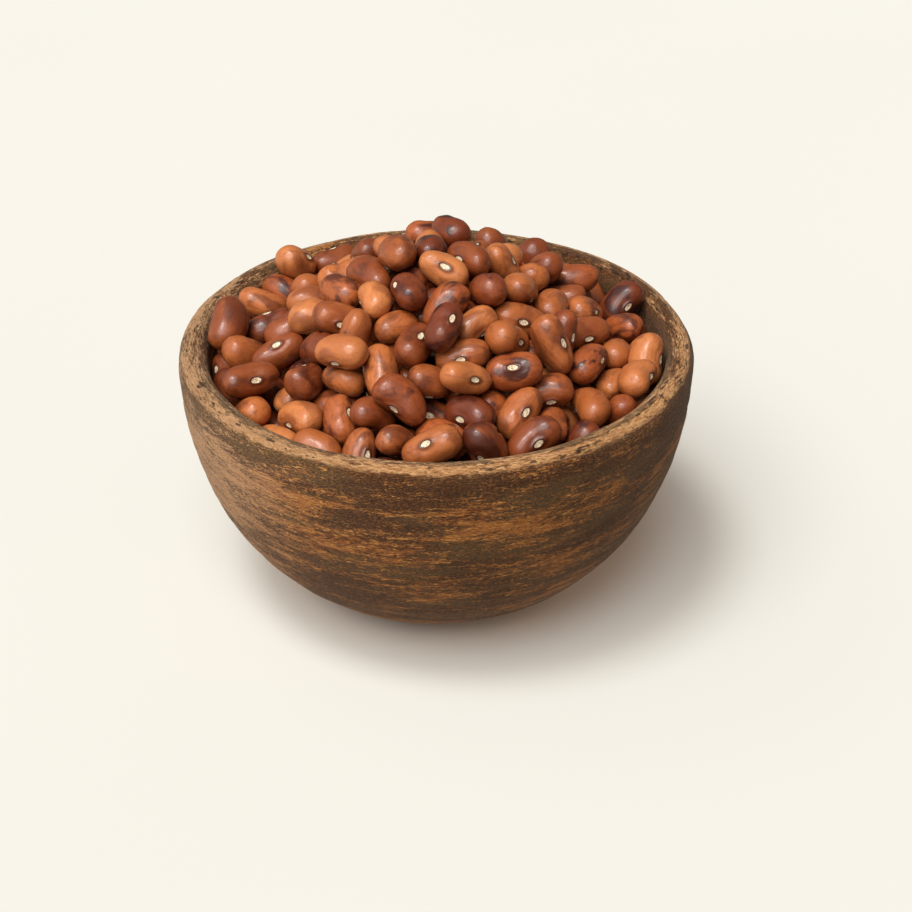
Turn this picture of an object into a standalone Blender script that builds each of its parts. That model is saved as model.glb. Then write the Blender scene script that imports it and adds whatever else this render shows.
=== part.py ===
"""A turned wooden bowl heaped with dried beans.

Metres, +Z up. The origin is on the surface the bowl stands on, under the middle of its foot.
"""

import math

import bmesh
import bpy
from mathutils import Vector

# Bowl: driving dimensions
RIM_RADIUS = 0.065
BOWL_HEIGHT = 0.068
FOOT_RADIUS = 0.027
RIM_WALL = 0.0073
FLOOR_THICKNESS = 0.009
FULLNESS = 2.29  # 2 gives a plain ellipse, more gives fuller sides
FOOT_ROUNDING = 0.0012

# Heap of beans: driving dimensions
HEAP_PEAK = 0.027  # the highest bean tops, above the rim
HEAP_EDGE_DROP = 0.005  # the bean tops beside the wall, below the rim
HEAP_SHAPE = 1.7  # 1 gives a cone, 2 a dome
WALL_GAP = 0.0004

# One bean of the heap's relief
BEAN_LENGTH = 0.0142
BEAN_WIDTH = 0.0098
BEAN_FULLNESS = 1.35  # 1 gives a plain bulge, more a fuller one with steeper sides
BEAN_COUNT = 86
BEAN_TIP = 0.3  # steepest slope of a bean's long axis
BEAN_SINK = 0.002  # how much deeper than the highest the lowest bean lies
VALLEY_DEPTH = 0.0058  # how far the hollows lie under the bean tops
EDGE_SHARE = 0.42  # of a bean's length, from the outermost middles to the heap's edge
TIP_STEP = 3.0  # radians from one bean's tip to the next one's, so that neighbours differ
SINK_STEP = 5.0  # the same for how deep they lie

# Fineness of the meshes
AROUND = 64
WALL_STEPS = 12
RIM_STEPS = 8
BALL_SUBDIVISIONS = 6
BALL_TOP_SHARE = 0.82  # share of the ball's area that becomes the heap's top
KEPT_SHARE = 0.27  # share of the heap's triangles kept, most of them in its creases

# Colours as linear RGB
WOOD_BROWN = (0.115, 0.058, 0.028, 1.0)
BEAN_BROWN = (0.30, 0.115, 0.045, 1.0)
WOOD_ROUGHNESS = 0.55
BEAN_ROUGHNESS = 0.38

GOLDEN_ANGLE = math.pi * (3.0 - math.sqrt(5.0))
MERGE_DISTANCE = 1e-6


def clear_scene():
    for obj in list(bpy.data.objects):
        bpy.data.objects.remove(obj, do_unlink=True)


def make_material(name, colour, roughness):
    material = bpy.data.materials.new(name)
    material.use_nodes = True
    shader = material.node_tree.nodes["Principled BSDF"]
    shader.inputs["Base Color"].default_value = colour
    shader.inputs["Roughness"].default_value = roughness
    shader.inputs["Metallic"].default_value = 0.0
    return material


def add_object(name, bm, material):
    bmesh.ops.recalc_face_normals(bm, faces=bm.faces)
    mesh = bpy.data.meshes.new(name)
    bm.to_mesh(mesh)
    bm.free()
    mesh.materials.append(material)
    mesh.shade_smooth()
    obj = bpy.data.objects.new(name, mesh)
    bpy.context.scene.collection.objects.link(obj)
    return obj


def swell_radius(depth, mouth_radius, full_depth):
    """Radius of a superellipse bowl shape at a depth below its mouth."""
    share = min(abs(depth) / full_depth, 1.0)
    return mouth_radius * (1.0 - share**FULLNESS) ** (1.0 / FULLNESS)


def outer_full_depth():
    """Depth at which the outer curve would close, if the foot didn't cut it off flat."""
    foot_share = (1.0 - (FOOT_RADIUS / RIM_RADIUS) ** FULLNESS) ** (1.0 / FULLNESS)
    return BOWL_HEIGHT / foot_share


def outer_radius(depth):
    return swell_radius(depth, RIM_RADIUS, outer_full_depth())


def inner_radius(depth, inset=0.0):
    mouth = RIM_RADIUS - RIM_WALL - inset
    return swell_radius(depth, mouth, BOWL_HEIGHT - FLOOR_THICKNESS - inset)


def eased_depths(start, end, steps):
    """Depths from start to end, closer together where the curve turns in at the bottom."""
    quarter = math.pi / 2
    return [start + (end - start) * math.sin(quarter * i / steps) for i in range(steps + 1)]


def bowl_profile():
    """Half section as (radius, height): floor centre, inner wall, rim, outer wall, foot centre."""
    rim_round = RIM_WALL / 2
    cavity_depth = BOWL_HEIGHT - FLOOR_THICKNESS
    inner = [
        (inner_radius(depth), BOWL_HEIGHT - depth)
        for depth in reversed(eased_depths(rim_round, cavity_depth, WALL_STEPS))
    ]
    rim_middle = (inner_radius(rim_round) + outer_radius(rim_round)) / 2
    half_wall = (outer_radius(rim_round) - inner_radius(rim_round)) / 2
    rim = []
    for i in range(1, RIM_STEPS):
        angle = math.pi * i / RIM_STEPS
        height = BOWL_HEIGHT - rim_round + rim_round * math.sin(angle)
        rim.append((rim_middle - half_wall * math.cos(angle), height))
    outer = [
        (outer_radius(depth), BOWL_HEIGHT - depth)
        for depth in eased_depths(rim_round, BOWL_HEIGHT - FOOT_ROUNDING, WALL_STEPS)
    ]
    foot = [(FOOT_RADIUS - FOOT_ROUNDING, 0.0), (0.0, 0.0)]
    return inner + rim + outer + foot


def revolve(profile):
    bm = bmesh.new()
    points = [bm.verts.new((radius, 0.0, height)) for radius, height in profile]
    edges = [bm.edges.new(pair) for pair in zip(points, points[1:])]
    bmesh.ops.spin(
        bm,
        geom=points + edges,
        axis=(0.0, 0.0, 1.0),
        cent=(0.0, 0.0, 0.0),
        steps=AROUND,
        angle=2.0 * math.pi,
    )
    bmesh.ops.remove_doubles(bm, verts=bm.verts, dist=MERGE_DISTANCE)
    return bm


def bean_tops(radius):
    """Height of the bean tops above the rim, at a distance from the heap's middle."""
    share = min(radius / heap_radius(), 1.0)
    return HEAP_PEAK - (HEAP_PEAK + HEAP_EDGE_DROP) * share**HEAP_SHAPE


def heap_edge_depth():
    return HEAP_EDGE_DROP + VALLEY_DEPTH


def heap_radius():
    return inner_radius(heap_edge_depth(), WALL_GAP)


def surface_beans():
    """The heap's top layer, spread evenly by the golden angle, each with its own turn, tip and depth."""
    reach = heap_radius() - BEAN_LENGTH * EDGE_SHARE
    beans = []
    for i in range(BEAN_COUNT):
        distance = reach * math.sqrt((i + 0.5) / BEAN_COUNT)
        angle = GOLDEN_ANGLE * i
        beans.append(
            {
                "x": distance * math.cos(angle),
                "y": distance * math.sin(angle),
                "turn": GOLDEN_ANGLE * i * i,
                "tip": BEAN_TIP * math.sin(TIP_STEP * i),
                "sink": BEAN_SINK * (0.5 + 0.5 * math.cos(SINK_STEP * i)),
            }
        )
    return beans


def bean_relief(x, y, beans):
    """Height above the hollows that the highest bean has at this place."""
    highest = 0.0
    for bean in beans:
        right, back = x - bean["x"], y - bean["y"]
        along = right * math.cos(bean["turn"]) + back * math.sin(bean["turn"])
        across = back * math.cos(bean["turn"]) - right * math.sin(bean["turn"])
        spread = (2 * along / BEAN_LENGTH) ** 2 + (2 * across / BEAN_WIDTH) ** 2
        if spread < 1.0:
            top = VALLEY_DEPTH - bean["sink"] + bean["tip"] * along
            highest = max(highest, top * (1.0 - spread**BEAN_FULLNESS))
    return highest


def heap_point(direction, beans):
    """Where a point of a unit ball goes: its top onto the bean tops, the rest onto the wall and floor."""
    flat = Vector((direction.x, direction.y, 0.0))
    heading = flat.normalized() if flat.length > MERGE_DISTANCE else Vector((1.0, 0.0, 0.0))
    share = (1.0 - direction.z) / 2.0  # of the ball's area that lies above this point
    if share <= BALL_TOP_SHARE:
        radius = heap_radius() * math.sqrt(share / BALL_TOP_SHARE)
        place = heading * radius
        level = bean_tops(radius) - VALLEY_DEPTH + bean_relief(place.x, place.y, beans)
        return Vector((place.x, place.y, BOWL_HEIGHT + level))
    lowest = BOWL_HEIGHT - FLOOR_THICKNESS - WALL_GAP
    below = (share - BALL_TOP_SHARE) / (1.0 - BALL_TOP_SHARE)
    depth = heap_edge_depth() + (lowest - heap_edge_depth()) * below
    place = heading * inner_radius(depth, WALL_GAP)
    return Vector((place.x, place.y, BOWL_HEIGHT - depth))


def make_bowl():
    wood = make_material("dark_worn_wood", WOOD_BROWN, WOOD_ROUGHNESS)
    return add_object("bowl", revolve(bowl_profile()), wood)


def make_heap():
    skin = make_material("bean_skin", BEAN_BROWN, BEAN_ROUGHNESS)
    bm = bmesh.new()
    bmesh.ops.create_icosphere(bm, subdivisions=BALL_SUBDIVISIONS, radius=1.0)
    beans = surface_beans()
    for vert in bm.verts:
        vert.co = heap_point(vert.co.normalized(), beans)
    heap = add_object("bean_heap", bm, skin)
    heap.modifiers.new("fewer_triangles", "DECIMATE").ratio = KEPT_SHARE
    return heap


clear_scene()
make_bowl()
make_heap()
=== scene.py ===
import math

import bpy
import numpy as np
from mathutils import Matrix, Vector, noise


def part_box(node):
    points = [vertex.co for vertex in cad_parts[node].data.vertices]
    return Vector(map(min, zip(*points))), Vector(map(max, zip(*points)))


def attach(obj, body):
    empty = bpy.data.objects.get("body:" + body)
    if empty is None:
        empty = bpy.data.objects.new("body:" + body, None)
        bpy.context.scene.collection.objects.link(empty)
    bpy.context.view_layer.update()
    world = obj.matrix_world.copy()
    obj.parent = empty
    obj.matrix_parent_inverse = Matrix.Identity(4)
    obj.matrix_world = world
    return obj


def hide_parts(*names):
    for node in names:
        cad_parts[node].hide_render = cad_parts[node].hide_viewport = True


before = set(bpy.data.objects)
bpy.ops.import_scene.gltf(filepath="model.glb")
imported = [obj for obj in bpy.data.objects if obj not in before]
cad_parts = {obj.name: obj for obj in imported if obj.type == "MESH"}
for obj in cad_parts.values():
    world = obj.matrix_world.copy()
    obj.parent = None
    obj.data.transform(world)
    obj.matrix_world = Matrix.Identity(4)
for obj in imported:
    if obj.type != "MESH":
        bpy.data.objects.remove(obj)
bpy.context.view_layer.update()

mm = 0.001
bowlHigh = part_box("bowl")[1]  # the corner with the largest x, y and z
rimRadius = bowlHigh.x
rimHeight = bowlHigh.z


def smoothStep(low, high, value):
    share = np.clip((value - low) / (high - low), 0.0, 1.0)
    return share * share * (3.0 - 2.0 * share)


def hump(away, width):
    # 1 in the middle, falling away on both sides
    return np.exp(-((away / width) ** 2))


def unit(vectors):
    return vectors / np.linalg.norm(vectors, axis=-1, keepdims=True)


def waver(points):
    # smooth noise from -1 to 1 at each point
    return np.array([noise.noise(point) for point in points.tolist()])


def meshFromArrays(name, points, faces, material):
    mesh = bpy.data.meshes.new(name)
    mesh.from_pydata(points.tolist(), [], faces)
    mesh.materials.append(material)
    mesh.shade_smooth()
    piece = bpy.data.objects.new(name, mesh)
    bpy.context.scene.collection.objects.link(piece)
    return piece


def storePerPoint(piece, name, kind, values):
    layer = piece.data.attributes.new(name, kind, "POINT")
    layer.data.foreach_set("vector" if kind == "FLOAT_VECTOR" else "value", values.astype(np.float32).ravel())


def spun(radii, heights, around):
    # a section turned about the upright axis, row by row
    angles = 2.0 * math.pi * np.arange(around) / around
    across, back = np.outer(radii, np.cos(angles)), np.outer(radii, np.sin(angles))
    return np.stack([across, back, np.outer(heights, np.ones(around))], -1).reshape(-1, 3)


def spunFaces(rows, around):
    # quads between the rows and a fan at each end; the two middle points come after the last row
    faces = []
    for row in range(rows - 1):
        for column in range(around):
            after = (column + 1) % around
            faces.append((row * around + column, row * around + after,
                          (row + 1) * around + after, (row + 1) * around + column))
    firstMiddle, lastMiddle = rows * around, rows * around + 1
    lastRow = (rows - 1) * around
    for column in range(around):
        after = (column + 1) % around
        faces.append((firstMiddle, after, column))
        faces.append((lastMiddle, lastRow + column, lastRow + after))
    return faces


# Small helpers for materials

def srgb(red, green, blue):
    def toLinear(level):
        share = level / 255.0
        return share / 12.92 if share <= 0.04045 else ((share + 0.055) / 1.055) ** 2.4

    return (toLinear(red), toLinear(green), toLinear(blue), 1.0)


def addNode(tree, kind, inputs=None, **settings):
    made = tree.nodes.new(kind)
    for name, value in settings.items():
        setattr(made, name, value)
    for name, value in (inputs or {}).items():
        if isinstance(value, bpy.types.NodeSocket):
            tree.links.new(value, made.inputs[name])
        else:
            made.inputs[name].default_value = value
    return made


def calculate(tree, operation, first, second=0.0):
    return addNode(tree, "ShaderNodeMath", {0: first, 1: second}, operation=operation).outputs[0]


def weigh(tree, *shares):
    # each value times its weight, all added up
    total = None
    for value, weight in shares:
        part = calculate(tree, "MULTIPLY", value, weight)
        total = part if total is None else calculate(tree, "ADD", total, part)
    return total


def rise(tree, value, low, high, bottom=0.0, top=1.0):
    # from bottom at low to top at high, smooth between
    inputs = {"Value": value, "From Min": low, "From Max": high, "To Min": bottom, "To Max": top}
    return addNode(tree, "ShaderNodeMapRange", inputs, interpolation_type="SMOOTHSTEP").outputs[0]


def stretch(tree, place, x, y, z):
    return addNode(tree, "ShaderNodeVectorMath", {0: place, 1: (x, y, z)}, operation="MULTIPLY").outputs[0]


def lengthOf(tree, place):
    return addNode(tree, "ShaderNodeVectorMath", {0: place}, operation="LENGTH").outputs["Value"]


def objectPlace(tree, scale=1.0):
    place = addNode(tree, "ShaderNodeTexCoord").outputs["Object"]
    return place if scale == 1.0 else stretch(tree, place, scale, scale, scale)


def stored(tree, name, output):
    # what storePerPoint kept under this name
    return addNode(tree, "ShaderNodeAttribute", attribute_name=name).outputs[output]


def cloudy(tree, place, scale, detail=2.0, roughness=0.5, distortion=0.0):
    inputs = {"Vector": place, "Scale": scale, "Detail": detail}
    inputs.update({"Roughness": roughness, "Distortion": distortion})
    return addNode(tree, "ShaderNodeTexNoise", inputs).outputs[0]


def blendColours(tree, share, first, second):
    made = tree.nodes.new("ShaderNodeMix")
    made.data_type = "RGBA"
    for index, value in ((0, share), (6, first), (7, second)):
        if isinstance(value, bpy.types.NodeSocket):
            tree.links.new(value, made.inputs[index])
        else:
            made.inputs[index].default_value = value
    return made.outputs[2]


def freshMaterial(name):
    material = bpy.data.materials.new(name)
    material.use_nodes = True
    tree = material.node_tree
    return material, tree, tree.nodes["Principled BSDF"]


def addBump(tree, shader, height, strength, distance):
    bump = addNode(tree, "ShaderNodeBump", {"Height": height, "Strength": strength, "Distance": distance})
    tree.links.new(bump.outputs[0], shader.inputs["Normal"])


# The bowl's turned shape. Wall, floor, foot and fullness are those of the solid in the frame.
bowlTurning = {
    "wall": 7.3 * mm,  # thickness at the rim
    "floorThickness": 9.0 * mm,
    "footRadius": 27.0 * mm,
    "footRounding": 1.2 * mm,
    "fullness": 2.29,  # 2 gives a plain ellipse, more gives fuller sides
    "around": 400,
    "outerRows": 140,
    "rimRows": 20,
    "innerRows": 44,
    "unevenRim": 0.45 * mm,  # how far the rim wanders up, down, in and out
    "toolMarks": 0.22 * mm,  # broad soft flats left by the gouge
    "toolMarkFineness": 0.055,
    "grooves": 0.14 * mm,  # narrow grooves along the turning
    "grooveFineness": 0.62,
    "chipDepth": 1.8,  # chips out of the rim, against the depth of a groove
    "chippedBelowRim": 5.0 * mm,
    "wanderBelowRim": 22 * mm,  # where the rim's wandering starts
    "trueFoot": 3.0 * mm,  # carving fades out below this height, so that the foot stays flat
}


def swellRadius(depth, mouth, fullDepth):
    share = np.clip(depth / fullDepth, 0.0, 1.0)
    return mouth * (1.0 - share ** bowlTurning["fullness"]) ** (1.0 / bowlTurning["fullness"])


def outerRadius(depth):
    share = bowlTurning["footRadius"] / rimRadius
    footShare = (1.0 - share ** bowlTurning["fullness"]) ** (1.0 / bowlTurning["fullness"])
    return swellRadius(depth, rimRadius, rimHeight / footShare)


def innerRadius(depth):
    return swellRadius(depth, rimRadius - bowlTurning["wall"], rimHeight - bowlTurning["floorThickness"])


def evenRows(radii, heights, rows):
    # the same curve with its points at even steps along it
    steps = np.hypot(np.diff(radii), np.diff(heights))
    travelled = np.concatenate([[0.0], np.cumsum(steps)])
    wanted = np.linspace(0.0, travelled[-1], rows + 1)
    return np.interp(wanted, travelled, radii), np.interp(wanted, travelled, heights)


def bowlSection():
    # radius and height, from the foot up the outside, over the rim and down the inside
    rimRound = bowlTurning["wall"] / 2
    fine = np.sin(np.linspace(0.0, math.pi / 2, 600))  # closer together where the curve turns in
    outerDepths = rimRound + (rimHeight - bowlTurning["footRounding"] - rimRound) * fine
    innerDepths = rimRound + (rimHeight - bowlTurning["floorThickness"] - rimRound) * fine
    outer = evenRows(outerRadius(outerDepths)[::-1], rimHeight - outerDepths[::-1], bowlTurning["outerRows"])
    inner = evenRows(innerRadius(innerDepths), rimHeight - innerDepths, bowlTurning["innerRows"])
    turn = math.pi * np.arange(1, bowlTurning["rimRows"]) / bowlTurning["rimRows"]
    middle = (outer[0][-1] + inner[0][0]) / 2
    half = (outer[0][-1] - inner[0][0]) / 2
    rim = (middle + half * np.cos(turn), rimHeight - rimRound + rimRound * np.sin(turn))
    foot = (np.array([bowlTurning["footRadius"] - bowlTurning["footRounding"]]), np.array([0.0]))
    radii = np.concatenate([foot[0], outer[0], rim[0], inner[0][:-1]])
    heights = np.concatenate([foot[1], outer[1], rim[1], inner[1][:-1]])
    return radii, heights


def outwardOf(radii, heights):
    # the section's normal at each row, as (out, up)
    alongOut, alongUp = np.gradient(radii), np.gradient(heights)
    length = np.hypot(alongOut, alongUp)
    return alongUp / length, -alongOut / length


def carveBowl(places, travelled):
    # places and the way travelled up the section in mm; gives how far each point moves along its normal
    fineness = bowlTurning["toolMarkFineness"]
    broad = waver(places * fineness)
    groovePlace = places * fineness
    groovePlace[:, 2] = travelled * bowlTurning["grooveFineness"]
    grooves = waver(groovePlace) + 0.55 * waver(groovePlace * 2.3 + 17.0)
    top = rimHeight / mm
    rimShare = smoothStep(top - bowlTurning["chippedBelowRim"] / mm, top - 2.0, places[:, 2])
    chips = waver(np.column_stack([places[:, 0] * 0.3, places[:, 1] * 0.3, travelled * 0.9]))
    dents = smoothStep(0.30, 0.60, chips) * rimShare * bowlTurning["chipDepth"]
    move = bowlTurning["toolMarks"] * broad + bowlTurning["grooves"] * (grooves - dents)
    return move * smoothStep(0.2, bowlTurning["trueFoot"] / mm, places[:, 2])


def makeBowl(material):
    radii, heights = bowlSection()
    out, up = outwardOf(radii, heights)
    around = bowlTurning["around"]
    places, normals = spun(radii, heights, around), spun(out, up, around)
    steps = np.hypot(np.diff(radii), np.diff(heights))
    travelled = np.repeat(np.concatenate([[0.0], np.cumsum(steps)]) / mm, around)
    shaped = places + normals * carveBowl(places / mm, travelled)[:, None]
    # the rim wanders slowly up and down and in and out
    nearRim = smoothStep(rimHeight - bowlTurning["wanderBelowRim"], rimHeight, places[:, 2])
    ring = np.column_stack([places[:, :2] / rimRadius * 1.6, np.zeros(len(places))])
    shaped[:, 2] += bowlTurning["unevenRim"] * nearRim * waver(ring + 5.0)
    shaped[:, :2] *= 1.0 + (bowlTurning["unevenRim"] / rimRadius * nearRim * waver(ring * 1.4 + 9.0))[:, None]
    shaped = np.vstack([shaped, [[0.0, 0.0, 0.0], [0.0, 0.0, bowlTurning["floorThickness"]]]])
    piece = meshFromArrays("wooden_bowl", shaped, spunFaces(len(radii), around), material)
    storePerPoint(piece, "travelled", "FLOAT", np.append(travelled, [0.0, travelled[-1]]))
    return piece


# The bowl's worn, dark-stained wood, with painted light on its left side and painted shade round its foot
wornWood = {
    "stain": srgb(64, 35, 12),
    "greyStain": srgb(80, 59, 33),
    # dark stain in the cracks and pits, also the painted shade round the foot
    "deepStainAndShade": srgb(24, 11, 4),
    "amber": srgb(136, 71, 21),
    "tan": srgb(165, 102, 45),
    "paleTan": srgb(212, 156, 88),
    # painted light: the pale, greyish colour of the lit left side
    "paintedLitPale": srgb(184, 150, 116),
    "rimTan": srgb(157, 106, 61),
    "rimPale": srgb(204, 158, 110),
    # the rim's colour towards the left, laid on along the painted left-side light
    "rimGrey": srgb(146, 118, 92),
    "roughness": 0.5,
    "specular": 0.16,
    "sheen": 0.12,  # how much the worn fibres catch light at the edges
    "sheenTint": (1.0, 0.86, 0.7, 1.0),
    "relief": 0.6 * mm,
}

# Its figure, drawn out round the bowl: fineness round and up the wall, detail, roughness, distortion
woodFigure = {
    "patches": (0.03, 0.1, 3.0, 0.6, 0.0),
    "streaks": (0.09, 0.6, 4.0, 0.62, 0.5),
    "fibres": (0.5, 2.6, 4.0, 0.64, 0.9),
    "flecks": (1.45, 5.8, 3.0, 0.6, 0.6),
    "greying": (0.03, 0.11, 2.0, 0.5, 0.0),
    "pits": (0.3, 0.75, 2.0, 0.6, 0.0),
}

# Where it is worn or dark, where light is painted on the left side and where shade is painted round the foot,
# in mm: from the middle, up from the foot, or down from the rim's top
wornPlaces = {
    # painted light, rising towards the left side
    "paintedLeftLight": (10.0, -62.0),
    "underRim": (12.0, 4.0),
    "rim": (2.2, 0.7),
    "insideCrest": (63.2, 60.4),
    "backSide": (-10.0, 45.0),
    # painted shade, darker towards the foot where the bowl meets the floor
    "foot": (8.0, 0.3),
}

# Between which levels of the figure one finish gives way to the next
woodLevels = {
    "wornAndLeftLit": (1.74, 2.0),
    "greyStain": (0.46, 0.64),
    "fleck": (0.5, 0.68),
    "tan": (0.4, 0.6),
    "paleTan": (0.5, 0.72),
    "paintedLitPale": (0.55, 1.0),
    "rimWorn": (0.74, 0.98),
    "rimPale": (0.38, 0.7),
    "crack": (0.47, 0.33),
    "pit": (0.58, 0.65),
    "rough": (0.3, 0.7),
}


def figure(tree, turned, name):
    around, up, detail, roughness, distortion = woodFigure[name]
    return cloudy(tree, stretch(tree, turned, around, around, up), 1.0, detail, roughness, distortion)


def makeWornWood():
    material, tree, shader = freshMaterial("dark_worn_wood")
    x, y, z = addNode(tree, "ShaderNodeSeparateXYZ", {0: objectPlace(tree, 1 / mm)}).outputs
    travelled = stored(tree, "travelled", "Fac")
    turned = addNode(tree, "ShaderNodeCombineXYZ", {0: x, 1: y, 2: travelled}).outputs[0]
    patches, streaks = figure(tree, turned, "patches"), figure(tree, turned, "streaks")
    fibres, flecks = figure(tree, turned, "fibres"), figure(tree, turned, "flecks")

    # bare fibres show where the stain has worn off
    top = rimHeight / mm
    paintedLeftLight = rise(tree, x, *wornPlaces["paintedLeftLight"])  # painted light: paler towards the left, where the light falls
    underRim = rise(tree, z, *(top - under for under in wornPlaces["underRim"]))  # a band that stayed dark
    # the wear figure, with painted light added on the left side
    wearAndLeftLight = weigh(tree, (patches, 1.15), (streaks, 0.75), (fibres, 0.9), (flecks, 0.7),
                 (paintedLeftLight, 0.18), (underRim, -0.14))
    wornAndLeftLit = rise(tree, wearAndLeftLight, *woodLevels["wornAndLeftLit"])
    greyed = rise(tree, figure(tree, turned, "greying"), *woodLevels["greyStain"])
    dark = blendColours(tree, greyed, wornWood["stain"], wornWood["greyStain"])
    bareFlecks = rise(tree, flecks, *woodLevels["fleck"], 0.0, 0.6)
    dark = blendColours(tree, bareFlecks, dark, wornWood["tan"])
    light = blendColours(tree, rise(tree, streaks, *woodLevels["tan"]), wornWood["amber"], wornWood["tan"])
    light = blendColours(tree, rise(tree, fibres, *woodLevels["paleTan"]), light, wornWood["paleTan"])
    # painted light: the left side turns paler and greyer
    paintedLitPale = rise(tree, paintedLeftLight, *woodLevels["paintedLitPale"], 0.0, 0.6)
    light = blendColours(tree, paintedLitPale, light, wornWood["paintedLitPale"])
    colour = blendColours(tree, wornAndLeftLit, dark, light)

    # the rim is worn along its crest, less on its inner side and at the back
    rimUp = rise(tree, z, *(top - under for under in wornPlaces["rim"]))
    fromMiddle = lengthOf(tree, addNode(tree, "ShaderNodeCombineXYZ", {0: x, 1: y}).outputs[0])
    insideCrest = rise(tree, fromMiddle, *wornPlaces["insideCrest"])
    backSide = rise(tree, y, *wornPlaces["backSide"])
    rimWear = weigh(tree, (streaks, 0.8), (fibres, 0.7), (rimUp, 0.22),
                    (insideCrest, -0.17), (backSide, -0.09))
    rimWorn = calculate(tree, "MULTIPLY", rimUp, rise(tree, rimWear, *woodLevels["rimWorn"]))
    rimPale = rise(tree, fibres, *woodLevels["rimPale"])
    rimColour = blendColours(tree, rimPale, wornWood["rimTan"], wornWood["rimPale"])
    # the rim turns greyer towards the left, along the painted left-side light
    rimGrey = calculate(tree, "MULTIPLY", paintedLeftLight, 0.45)
    rimColour = blendColours(tree, rimGrey, rimColour, wornWood["rimGrey"])
    colour = blendColours(tree, rimWorn, colour, rimColour)

    # cracks everywhere, pits on the rim, and painted shade round the foot where the bowl meets the floor
    cracks = calculate(tree, "ADD", flecks, calculate(tree, "MULTIPLY", rimUp, 0.05))
    cracks = rise(tree, cracks, *woodLevels["crack"])
    pits = rise(tree, figure(tree, turned, "pits"), *woodLevels["pit"])
    cracks = calculate(tree, "MAXIMUM", cracks, calculate(tree, "MULTIPLY", pits, rimUp))
    colour = blendColours(tree, calculate(tree, "MULTIPLY", cracks, 0.85), colour, wornWood["deepStainAndShade"])
    # painted shade: darker towards the bottom, round the foot
    foot = rise(tree, z, *wornPlaces["foot"], 0.0, 0.72)
    colour = blendColours(tree, foot, colour, wornWood["deepStainAndShade"])
    tree.links.new(colour, shader.inputs["Base Color"])

    smoothest, roughest = wornWood["roughness"] - 0.12, wornWood["roughness"] + 0.14
    roughness = rise(tree, fibres, *woodLevels["rough"], smoothest, roughest)
    tree.links.new(roughness, shader.inputs["Roughness"])
    shader.inputs["Specular IOR Level"].default_value = wornWood["specular"]
    shader.inputs["Sheen Weight"].default_value = wornWood["sheen"]
    shader.inputs["Sheen Roughness"].default_value = 0.45
    shader.inputs["Sheen Tint"].default_value = wornWood["sheenTint"]
    addBump(tree, shader, weigh(tree, (fibres, 0.5), (flecks, 0.6)), 0.9, wornWood["relief"])
    return material


bowl = makeBowl(makeWornWood())
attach(bowl, "root")
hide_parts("bowl")
print("bowl turned:", len(bowl.data.polygons), "faces")


# How the beans lie, in mm. The tops follow a dome a little higher than the solid in the frame.
heap = {
    "seed": 9,
    "peak": 29.2,  # the highest tops above the rim
    "edgeDrop": 5.6,  # the tops beside the wall, below the rim
    "edgeRadius": 57.3,
    "shape": 1.45,  # 1 gives a cone, 2 a dome
    "coreDepth": 19.5,  # from the bean tops down to the core
    "layers": ((14.6, 104), (6.6, 116), (0.3, 36)),  # depth under the tops, and how many beans
    "looseDepth": 1.0,  # beans less deep than this are loose ones on top, which keep off the edge
    "edgeGap": 4.5,
    "looseEdgeGap": 9.0,
    "jitter": 1.3,
    "tilt": 0.32,
    "standing": 0.07,  # share of beans that stand up on end
    # how strongly the eyes look out of the heap, downhill, every way and forward
    "eyesOut": 0.45,
    "eyesDownhill": 0.75,
    "eyesScatter": 0.55,
    "eyesForward": 0.3,
    "downhillDrop": 14.0,
}

# How they settle. Each bean is three balls in a row, and the middle one is the largest.
settling = {
    "steps": 420,
    "ballSizes": (4.05, 4.3, 4.05),
    "endInset": 4.0,  # from a bean's end to the middle of its end ball
    "pull": 0.35,
    "inward": 0.75,  # the pull towards the heap, and the one straight down
    "down": 0.25,
    "pullUntil": 0.86,  # share of the steps, so that the last ones only part the beans
    "searchEvery": 8,  # steps between two searches for neighbours
    "searchGap": 2.5,
    "passes": 3,
    "give": 0.42,  # share of an overlap that each ball gives way at a time
    "lean": 0.0026,  # how fast the outer beans roll out against the wall
    "leanFrom": 42.0,
    "leanTo": 50.0,
    "wallGap": 0.15,
}

# One bean, in mm: its length runs along x and its eye looks along -y
beanForm = {
    "length": 13.0,
    "width": 8.6,
    "thickness": 8.1,
    "lengthSpread": 0.06,
    "lengthLimits": (0.86, 1.15),
    "sizeSpread": 0.05,
    "sizeLimits": (0.9, 1.1),
    "taper": 0.1,
    "widthRange": (0.95, 1.05),
    "thicknessRange": (0.93, 1.06),
    "bend": 0.16,
    "bendRange": (0.35, 1.3),
    "waist": 0.55,  # how far it draws in at the eye, against the bend
    "waistLength": 0.42,
    "fullness": 2.5,  # 2 is a plain ellipsoid, more has fuller ends
    "sectors": 32,
    "rings": (0, 3.5, 6, 8, 10, 12, 14.5, 18, 23, 29, 36, 44, 52, 61, 70, 79, 88, 98,
              108, 118, 128, 138, 148, 158, 169, 180),  # degrees from the eye, closest round it
    "eyeLength": 1.2,  # half its length and width
    "eyeWidth": 0.66,
    "lipHeight": 0.15,
    "eyeDepth": 0.13,
    "moatDepth": 0.12,  # the shallow dip outside the lip
    "seamHeight": 0.05,
    "dimpled": 0.28,  # share of smooth beans with a dimple or two
    "dimpleDepth": (0.25, 0.55),
    "dimpleWidth": (0.16, 0.34),
    "creaseDepth": 0.5,
    "flapHeight": 0.16,  # how far the skin stands up on one side of a crease
}


def heapTops(radius):
    share = np.clip(radius / heap["edgeRadius"], 0.0, 1.0)
    overEdge = (heap["peak"] + heap["edgeDrop"]) * (1.0 - share ** heap["shape"])
    return rimHeight / mm - heap["edgeDrop"] + overEdge


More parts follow.
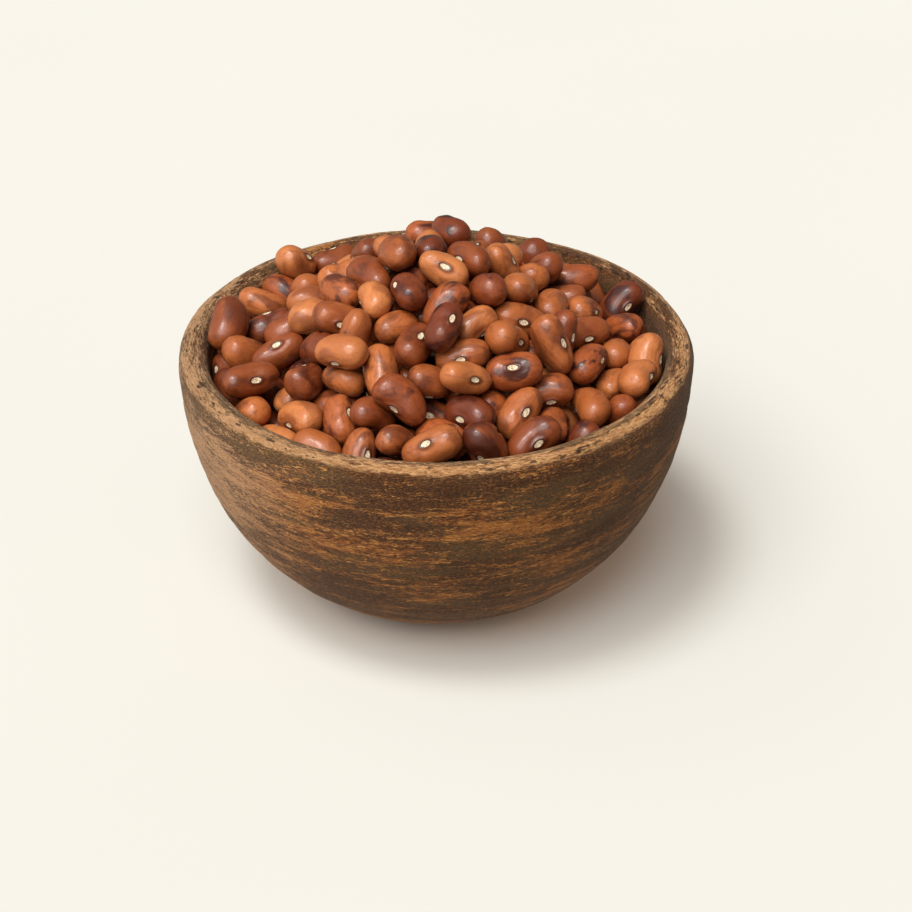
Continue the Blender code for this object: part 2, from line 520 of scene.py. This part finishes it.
def heapOutward(places):
    # the dome's outward normal over or under each place
    radius = np.maximum(np.hypot(places[:, 0], places[:, 1]), 1e-6)
    slope = (heapTops(radius + 0.05) - heapTops(radius - 0.05)) / 0.1
    out = -slope / radius
    return unit(np.column_stack([places[:, 0] * out, places[:, 1] * out, np.ones(len(places))]))


def scatterBeans(random):
    goldenAngle = math.pi * (3.0 - math.sqrt(5.0))
    middles = []
    for depth, count in heap["layers"]:
        order = np.arange(count) + 0.5
        loose = depth < heap["looseDepth"]
        reach = heap["edgeRadius"] - (heap["looseEdgeGap"] if loose else heap["edgeGap"])
        radius = reach * (order / count) ** (0.6 if loose else 0.5)  # 0.5 spreads them evenly
        angle = goldenAngle * order + random.uniform(0, 2 * math.pi)
        flat = np.column_stack([radius * np.cos(angle), radius * np.sin(angle)])
        flat += random.normal(0.0, heap["jitter"], flat.shape)
        level = heapTops(np.hypot(flat[:, 0], flat[:, 1])) - depth
        middles.append(np.column_stack([flat, level]))
    middles = np.vstack(middles)
    outward = heapOutward(middles)
    axes = unit(random.normal(size=middles.shape))
    tilt = random.uniform(-heap["tilt"], heap["tilt"], len(middles))
    standing = random.random(len(middles)) < heap["standing"]
    tilt[standing] = random.uniform(0.9, 2.2, standing.sum())
    axes = axes - outward * np.sum(axes * outward, axis=1, keepdims=True)
    axes = unit(unit(axes) + outward * tilt[:, None])
    return middles, axes


def neighbours(balls, ballRadii, owner):
    # pairs of balls of different beans that are close enough to meet soon
    apart = np.linalg.norm(balls[:, None] - balls[None], axis=2)
    gaps = apart - ballRadii[:, None] - ballRadii[None]
    return np.argwhere((gaps < settling["searchGap"]) & (owner[:, None] < owner[None])).T


def settleBeans(middles, axes, sizes):
    # the balls are pulled onto the heap and push each other apart, and each bean follows its balls
    halves = sizes[:, 0] / 2 - settling["endInset"] * sizes[:, 1]
    offsets = np.array([-1.0, 0.0, 1.0])
    ballRadii = (sizes[:, 1:] * np.array(settling["ballSizes"])).ravel()
    owner = np.repeat(np.arange(len(middles)), 3)
    down = np.array([0.0, 0.0, settling["down"]])
    for step in range(settling["steps"]):
        balls = middles[:, None] + axes[:, None] * (halves[:, None] * offsets)[:, :, None]
        balls = balls.reshape(-1, 3)
        calm = max(1.0 - step / (settling["pullUntil"] * settling["steps"]), 0.0)
        outward = heapOutward(balls)
        balls -= (outward * settling["inward"] + down) * settling["pull"] * calm
        if step % settling["searchEvery"] == 0:
            first, second = neighbours(balls, ballRadii, owner)
        for _ in range(settling["passes"]):
            apart = balls[first] - balls[second]
            distance = np.maximum(np.linalg.norm(apart, axis=1), 1e-6)
            overlap = np.maximum(ballRadii[first] + ballRadii[second] - distance, 0.0)
            push = apart * (overlap / distance * settling["give"])[:, None]
            np.add.at(balls, first, push)
            np.add.at(balls, second, -push)
        radius = np.hypot(balls[:, 0], balls[:, 1])
        lean = smoothStep(settling["leanFrom"], settling["leanTo"], radius)
        balls[:, :2] *= 1.0 + settling["lean"] * lean[:, None]
        # nothing sinks into the core
        radius = np.hypot(balls[:, 0], balls[:, 1])
        outward = heapOutward(balls)
        above = (balls[:, 2] - heapTops(radius)) * outward[:, 2] + heap["coreDepth"]
        balls += outward * np.maximum(ballRadii - above, 0.0)[:, None]
        # and nothing leaves the bowl
        depth = np.maximum(rimHeight / mm - balls[:, 2], 0.0)
        wall = innerRadius(depth * mm) / mm - ballRadii - settling["wallGap"]
        radius = np.maximum(np.hypot(balls[:, 0], balls[:, 1]), 1e-6)
        balls[:, :2] *= np.minimum(wall / radius, 1.0)[:, None]
        balls = balls.reshape(-1, 3, 3)
        middles = balls.mean(axis=1)
        axes = unit(balls[:, 2] - balls[:, 0])
    return middles, axes


def eyeDirections(middles, axes, random):
    # the eye of a bean tends to lie on its lower, outer side
    outward = heapOutward(middles)
    drop = np.full(len(middles), -heap["downhillDrop"])
    downhill = unit(np.column_stack([middles[:, 0], middles[:, 1], drop]))
    wanted = outward * heap["eyesOut"] + downhill * heap["eyesDownhill"]
    wanted = wanted + random.normal(0.0, heap["eyesScatter"], middles.shape)
    wanted += np.array([0.0, -heap["eyesForward"], 0.0])
    return unit(wanted - axes * np.sum(wanted * axes, axis=1, keepdims=True))


def beanDirections():
    # unit directions of a grid whose pole is at the eye
    polar = np.radians(beanForm["rings"][1:-1])
    around = 2.0 * math.pi * np.arange(beanForm["sectors"]) / beanForm["sectors"]
    ring = np.stack([
        np.outer(np.sin(polar), np.cos(around)),
        np.outer(-np.cos(polar), np.ones(len(around))),
        np.outer(np.sin(polar), np.sin(around)),
    ], -1).reshape(-1, 3)
    return np.vstack([[[0.0, -1.0, 0.0]], ring, [[0.0, 1.0, 0.0]]])


def beanFaces():
    sectors, bands = beanForm["sectors"], len(beanForm["rings"]) - 2
    last = 1 + bands * sectors
    faces = []
    for column in range(sectors):
        after = (column + 1) % sectors
        faces.append((0, 1 + column, 1 + after))
        for band in range(bands - 1):
            start = 1 + band * sectors
            faces.append((start + column, start + sectors + column, start + sectors + after, start + after))
        start = last - sectors
        faces.append((last, start + after, start + column))
    return faces


def shapeBean(directions, length, size, random, creased):
    # points of one bean, and the same points before it swells, for its colouring
    x, y, z = directions.T
    halfLength, halfWidth, halfThickness = length / 2, beanForm["width"] / 2, beanForm["thickness"] / 2
    fullness = beanForm["fullness"]
    fuller = (np.abs(x) ** fullness + np.hypot(y, z) ** fullness) ** (-1.0 / fullness)
    plain = np.column_stack([x * halfLength, y * halfWidth, z * halfThickness]) * fuller[:, None]
    points = plain.copy()
    along = plain[:, 0] / halfLength
    taper = random.uniform(-beanForm["taper"], beanForm["taper"])
    points[:, 1:] *= (1.0 + taper * along)[:, None]
    points[:, 1] *= random.uniform(*beanForm["widthRange"])
    points[:, 2] *= random.uniform(*beanForm["thicknessRange"])
    bend = beanForm["bend"] * random.uniform(*beanForm["bendRange"])
    points[:, 1] -= halfWidth * bend * (along**2 - 0.35)
    # a waist at the eye
    waist = halfWidth * bend * beanForm["waist"] * hump(along, beanForm["waistLength"])
    points[:, 1] += waist * smoothStep(0.2, -0.6, y)
    # soft lumps
    shift = random.uniform(-50.0, 50.0, 3)
    lumps = waver(plain * 0.16 + shift) * 0.42 + waver(plain * 0.42 + shift) * 0.18
    lumps += waver(plain * 0.85 - shift) * 0.05
    # the eye: a sunken pad with a raised lip round it
    eye = np.hypot(plain[:, 0] / beanForm["eyeLength"], plain[:, 2] / beanForm["eyeWidth"])
    facing = y < 0
    lip = beanForm["lipHeight"] * hump(eye - 1.32, 0.26)
    lip -= beanForm["eyeDepth"] * (1.0 - smoothStep(0.7, 1.1, eye))
    lip -= beanForm["moatDepth"] * hump(eye - 2.3, 0.6)
    swell = lumps + lip * facing
    # the seam that runs on from the eye along the edge
    seam = hump(plain[:, 2], 0.28) * facing * smoothStep(2.0, 3.0, eye)
    swell += beanForm["seamHeight"] * seam
    if random.random() < beanForm["dimpled"] or creased:
        # a dimple or two
        for _ in range(random.integers(1, 3)):
            spot = unit(random.normal(size=3))
            away = np.linalg.norm(directions - spot, axis=1)
            depth = random.uniform(*beanForm["dimpleDepth"])
            swell -= depth * hump(away, random.uniform(*beanForm["dimpleWidth"]))
    if creased:
        # one long crease where the skin has split or folded
        tilt = unit(np.array([1.0, random.uniform(-0.5, 0.5), random.uniform(-0.9, 0.9)]))
        line = directions @ tilt - random.uniform(-0.25, 0.25) + 0.05 * waver(directions * 2.0 + shift)
        awayFromEye = smoothStep(-0.5, 0.3, y)
        swell -= beanForm["creaseDepth"] * hump(line, 0.05) * awayFromEye
        swell += beanForm["flapHeight"] * smoothStep(0.0, 0.12, line) * awayFromEye
    points += unit(directions / np.array([halfLength, halfWidth, halfThickness])) * swell[:, None]
    return points * size, plain


# What each kind of bean looks like
beanKinds = {
    "plain_beans": {
        "share": 0.4,
        "pale": srgb(183, 104, 53),
        "deep": srgb(121, 56, 23),
        "blotch": srgb(68, 25, 13),
        "blotchAmount": 0.6,
    },
    "pale_beans": {
        "share": 0.26,
        "pale": srgb(192, 118, 67),
        "deep": srgb(156, 84, 40),
        "blotch": srgb(98, 42, 20),
        "blotchAmount": 0.5,
    },
    "mottled_beans": {
        "share": 0.24,
        "pale": srgb(164, 84, 40),
        "deep": srgb(100, 41, 17),
        "blotch": srgb(52, 17, 13),
        "blotchAmount": 0.92,
    },
    "creased_beans": {
        "share": 0.10,
        "pale": srgb(170, 91, 45),
        "deep": srgb(106, 46, 19),
        "blotch": srgb(58, 20, 13),
        "blotchAmount": 0.8,
        "creased": True,
    },
}

beanSkin = {
    "eye": srgb(216, 198, 168),
    "eyeSpeck": srgb(140, 100, 62),
    "eyeEdge": srgb(48, 17, 8),
    "halo": srgb(80, 28, 11),
    "roughness": 0.44,
    "specular": 0.32,
    "coat": 0.3,
    "coatRoughness": 0.17,
    "relief": 0.25 * mm,
    # between which levels of the pattern each marking sets in
    "deepLevels": (0.3, 1.25),
    "veinLevels": (0.44, 0.7),
    "blotchLevels": (0.5, 0.64),
    "speckLevels": (0.7, 0.78),
    "eyeSpeckLevels": (0.46, 0.68),
    # how far round the eye each of these reaches, against the eye's own size, and the seam in mm
    "haloReach": (2.7, 1.25),
    "edgeReach": (1.5, 1.25),
    "padReach": (1.2, 1.04),
    "seamReach": (0.4, 0.1),
}


def makeBeanSkin(name, look):
    material, tree, shader = freshMaterial(name)
    pattern = stored(tree, "beanPattern", "Vector")

    clouds = cloudy(tree, pattern, 0.2, 3.0, 0.55)
    shade = weigh(tree, (stored(tree, "beanTone", "Fac"), 0.75), (clouds, 0.9))
    colour = blendColours(tree, rise(tree, shade, *beanSkin["deepLevels"]), look["pale"], look["deep"])
    veins = cloudy(tree, stretch(tree, pattern, 0.35, 0.8, 0.8), 1.0, 4.0, 0.62, 1.0)
    veined = rise(tree, veins, *beanSkin["veinLevels"], 0.0, 0.55)
    colour = blendColours(tree, veined, colour, look["deep"])
    blotches = cloudy(tree, stretch(tree, pattern, 0.1, 0.15, 0.15), 1.0, 3.0, 0.55, 0.6)
    blotches = rise(tree, blotches, *beanSkin["blotchLevels"])
    blotches = calculate(tree, "MULTIPLY", blotches, look["blotchAmount"])
    colour = blendColours(tree, blotches, colour, look["blotch"])
    specks = rise(tree, cloudy(tree, pattern, 2.4, 1.0), *beanSkin["speckLevels"], 0.0, 0.35)
    colour = blendColours(tree, specks, colour, look["blotch"])

    # the eye: a dark halo, the seam that runs through it, a darker edge and the cream pad
    x, y, z = addNode(tree, "ShaderNodeSeparateXYZ", {0: stored(tree, "beanPlace", "Vector")}).outputs
    across = calculate(tree, "DIVIDE", x, beanForm["eyeLength"])
    over = calculate(tree, "DIVIDE", z, beanForm["eyeWidth"])
    eye = lengthOf(tree, addNode(tree, "ShaderNodeCombineXYZ", {0: across, 1: over}).outputs[0])
    facing = calculate(tree, "LESS_THAN", y, 0.0)
    ragged = calculate(tree, "ADD", eye, calculate(tree, "MULTIPLY", cloudy(tree, pattern, 1.6, 2.0), 0.3))
    halo = calculate(tree, "MULTIPLY", rise(tree, ragged, *beanSkin["haloReach"], 0.0, 0.75), facing)
    colour = blendColours(tree, halo, colour, beanSkin["halo"])
    seam = rise(tree, calculate(tree, "ABSOLUTE", z), *beanSkin["seamReach"], 0.0, 0.22)
    colour = blendColours(tree, calculate(tree, "MULTIPLY", seam, facing), colour, beanSkin["halo"])
    edge = calculate(tree, "MULTIPLY", rise(tree, ragged, *beanSkin["edgeReach"], 0.0, 0.9), facing)
    colour = blendColours(tree, edge, colour, beanSkin["eyeEdge"])
    pad = calculate(tree, "MULTIPLY", rise(tree, ragged, *beanSkin["padReach"]), facing)
    specked = rise(tree, cloudy(tree, pattern, 2.6, 2.0), *beanSkin["eyeSpeckLevels"], 0.0, 0.8)
    padColour = blendColours(tree, specked, beanSkin["eye"], beanSkin["eyeSpeck"])
    colour = blendColours(tree, pad, colour, padColour)
    tree.links.new(colour, shader.inputs["Base Color"])

    roughness = rise(tree, veins, 0.25, 0.75, beanSkin["roughness"] - 0.06, beanSkin["roughness"] + 0.1)
    roughness = calculate(tree, "ADD", roughness, calculate(tree, "MULTIPLY", pad, 0.25))
    tree.links.new(roughness, shader.inputs["Roughness"])
    shader.inputs["Specular IOR Level"].default_value = beanSkin["specular"]
    shader.inputs["Coat Weight"].default_value = beanSkin["coat"]
    shader.inputs["Coat Roughness"].default_value = beanSkin["coatRoughness"]
    relief = cloudy(tree, stretch(tree, pattern, 0.8, 1.6, 1.6), 1.0, 3.0, 0.6)
    addBump(tree, shader, relief, 0.45, beanSkin["relief"])
    return material


def makeBeans():
    random = np.random.default_rng(heap["seed"])
    middles, axes = scatterBeans(random)
    count = len(middles)
    # each bean's length in mm, and its size against the usual one
    lengths = random.normal(1.0, beanForm["lengthSpread"], count).clip(*beanForm["lengthLimits"])
    scales = random.normal(1.0, beanForm["sizeSpread"], count).clip(*beanForm["sizeLimits"])
    sizes = np.column_stack([beanForm["length"] * lengths * scales, scales])
    middles, axes = settleBeans(middles, axes, sizes)
    eyes = eyeDirections(middles, axes, random)
    print("beans settled:", count)
    names = list(beanKinds)
    kindOf = random.choice(len(names), count, p=[beanKinds[name]["share"] for name in names])
    directions, faces = beanDirections(), beanFaces()
    for kind, name in enumerate(names):
        points, places, patterns, tones, allFaces = [], [], [], [], []
        for index in np.flatnonzero(kindOf == kind):
            length, size = sizes[index]
            creased = beanKinds[name].get("creased", False)
            shape, plain = shapeBean(directions, length / size, size, random, creased)
            third = np.cross(axes[index], -eyes[index])
            turned = shape @ np.array([axes[index], -eyes[index], third])
            start = len(points) * len(directions)
            allFaces.extend(tuple(corner + start for corner in face) for face in faces)
            points.append((turned + middles[index]) * mm)
            places.append(plain)
            patterns.append(plain + random.uniform(-400.0, 400.0, 3))
            tones.append(np.full(len(plain), random.random()))
        piece = meshFromArrays(name, np.vstack(points), allFaces, makeBeanSkin(name, beanKinds[name]))
        storePerPoint(piece, "beanPlace", "FLOAT_VECTOR", np.vstack(places))
        storePerPoint(piece, "beanPattern", "FLOAT_VECTOR", np.vstack(patterns))
        storePerPoint(piece, "beanTone", "FLOAT", np.concatenate(tones))
        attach(piece, "root")
        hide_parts("bean_heap")
        print(name, len(points), "beans,", sum(len(face) - 2 for face in allFaces), "triangles")


makeBeans()


# The beans deeper down, as one lumpy body that fills the bowl under the ones that show, coloured dark as
# painted shade
core = {
    "radius": 56.2,
    "shrink": 0.6,  # how far it keeps off the wall
    "bottom": 10.0,
    "rings": 60,
    "wallRows": 24,
    "around": 160,
    "lumps": 1.6,
    # painted shade: far darker than the beans, as the deep ones look in shade
    "colour": srgb(58, 24, 12),
    # painted shade in the crevices between the cells
    "creviceShade": srgb(20, 8, 4),
}


def makeCoreSkin():
    material, tree, shader = freshMaterial("deep_beans")
    place = objectPlace(tree, 1 / mm)
    cells = addNode(tree, "ShaderNodeTexVoronoi", {"Vector": place, "Scale": 0.11}).outputs["Distance"]
    # painted shade: darker in the crevices between the cells
    colour = blendColours(tree, rise(tree, cells, 0.25, 0.75), core["colour"], core["creviceShade"])
    tree.links.new(colour, shader.inputs["Base Color"])
    shader.inputs["Roughness"].default_value = 0.9
    shader.inputs["Specular IOR Level"].default_value = 0.05
    addBump(tree, shader, cloudy(tree, place, 0.6, 3.0), 0.3, 0.4 * mm)
    return material


def makeCore():
    # one closed body: the top follows the dome, the rest the inside of the bowl
    around, rings = core["around"], core["rings"]
    topRadii = core["radius"] * np.sqrt(np.arange(1, rings + 1) / rings)
    topHeights = heapTops(topRadii) - heap["coreDepth"]
    rim = rimHeight / mm
    depths = np.linspace(rim - topHeights[-1], rim - core["bottom"], core["wallRows"])[1:]
    wallRadii = innerRadius(depths * mm) / mm - core["shrink"]
    radii = np.concatenate([topRadii, np.minimum(wallRadii, core["radius"])])
    heights = np.concatenate([topHeights, rim - depths])
    places = spun(radii, heights, around)
    lift = core["lumps"] * (waver(places * 0.16) - 0.4)
    onTop = np.repeat(np.arange(len(radii)) < rings - 2, around)
    places[:, 2] += lift * onTop
    places = np.vstack([places, [[0, 0, heapTops(0.0) - heap["coreDepth"]], [0, 0, heights[-1]]]])
    # this section runs down where the bowl's runs up, so its faces turn the other way round
    faces = [face[:1] + face[:0:-1] for face in spunFaces(len(radii), around)]
    return meshFromArrays("heap_core", places * mm, faces, makeCoreSkin())


heapCore = makeCore()
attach(heapCore, "root")
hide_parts("bean_heap")
print("core made")


# The floor, the light and the camera
studio = {
    "floor": srgb(190, 193, 190),
    "floorGlow": srgb(98, 76, 58),
    "footGlow": 0.3,  # painted contact shadow: share of the glow under the bowl, which grows to 1 between the next two radii
    "glowFrom": 27 * mm,
    "glowTo": 40 * mm,
    "floorReach": 30.0,
    "lightSide": (1.3, 1.27, 1.22, 1.0),
    "farSide": (0.3, 0.294, 0.28, 1.0),
    "belowLight": (1.5, 1.33, 1.1, 1.0),
    "belowFar": (0.85, 0.66, 0.48, 1.0),
    "brightFrom": (-0.85, -0.45, 0.12),
    "skyStrength": 0.6,
    "sunFrom": (-0.26, -0.46, 0.85),
    "sunStrength": 3.1,
    "sunSize": 48.0,  # degrees across
    "keyFrom": (-0.24, -0.16, 0.93),
    "keyStrength": 1.35,
    "keySize": 16.0,
    "lampColour": (1.0, 0.985, 0.95),
}

cameraPlace = {
    "above": 28.4,  # the line of sight to the middle of the rim, in degrees
    "distance": 0.475,
    "tilt": 32.1,
    "turn": -0.685,
    "lens": 74.1,
    "sensor": 36.0,
}


def makeFloor():
    material, tree, shader = freshMaterial("pale_floor")
    place = objectPlace(tree)
    faint = rise(tree, cloudy(tree, place, 3.0, 2.0), 0.3, 0.7)
    slightlyDarker = tuple(level * 0.985 for level in studio["floor"][:3]) + (1.0,)
    tree.links.new(blendColours(tree, faint, studio["floor"], slightlyDarker), shader.inputs["Base Color"])
    shader.inputs["Emission Color"].default_value = studio["floorGlow"]
    # painted contact shadow: the floor's glow is dimmed round the foot
    glow = rise(tree, lengthOf(tree, place), studio["glowFrom"], studio["glowTo"], studio["footGlow"])
    tree.links.new(glow, shader.inputs["Emission Strength"])
    shader.inputs["Roughness"].default_value = 0.9
    shader.inputs["Specular IOR Level"].default_value = 0.0
    reach = studio["floorReach"]
    corners = np.array([[-reach, -reach, 0], [reach, -reach, 0], [reach, reach, 0], [-reach, reach, 0]])
    floor = meshFromArrays("floor", corners, [(0, 1, 2, 3)], material)
    floor.visible_diffuse = False  # the sky's lower half stands for the light that a floor throws back
    floor.visible_glossy = False


def makeLight():
    world = bpy.data.worlds.new("studio")
    bpy.context.scene.world = world
    world.use_nodes = True
    tree = world.node_tree
    direction = addNode(tree, "ShaderNodeTexCoord").outputs["Generated"]
    brightest = Vector(studio["brightFrom"]).normalized()
    towards = addNode(tree, "ShaderNodeVectorMath", {0: direction, 1: brightest}, operation="DOT_PRODUCT")
    share = rise(tree, towards.outputs["Value"], -0.2, 0.95)
    sides = blendColours(tree, share, studio["farSide"], studio["lightSide"])
    below = blendColours(tree, share, studio["belowFar"], studio["belowLight"])
    height = addNode(tree, "ShaderNodeSeparateXYZ", {0: direction}).outputs[2]
    background = tree.nodes["Background"]
    colour = blendColours(tree, rise(tree, height, 0.0, -0.3), sides, below)
    tree.links.new(colour, background.inputs["Color"])
    background.inputs["Strength"].default_value = studio["skyStrength"]
    makeLamp("soft_sun", studio["sunFrom"], studio["sunStrength"], studio["sunSize"])
    makeLamp("key_sun", studio["keyFrom"], studio["keyStrength"], studio["keySize"])


def makeLamp(name, comesFrom, strength, size):
    data = bpy.data.lights.new(name, "SUN")
    data.energy = strength
    data.angle = math.radians(size)
    data.color = studio["lampColour"]
    lamp = bpy.data.objects.new(name, data)
    lamp.rotation_euler = Vector(comesFrom).to_track_quat("Z", "Y").to_euler()
    bpy.context.scene.collection.objects.link(lamp)


def makeCamera():
    data = bpy.data.cameras.new("camera")
    data.lens = cameraPlace["lens"]
    data.sensor_width = cameraPlace["sensor"]
    camera = bpy.data.objects.new("camera", data)
    above = math.radians(cameraPlace["above"])
    back = cameraPlace["distance"] * math.cos(above)
    camera.location = (0.0, -back, rimHeight + cameraPlace["distance"] * math.sin(above))
    camera.rotation_euler = (math.radians(90.0 - cameraPlace["tilt"]), 0.0, math.radians(cameraPlace["turn"]))
    bpy.context.scene.collection.objects.link(camera)
    bpy.context.scene.camera = camera


makeFloor()
makeLight()
makeCamera()
bpy.context.scene.view_settings.view_transform = "Standard"
print("studio set")
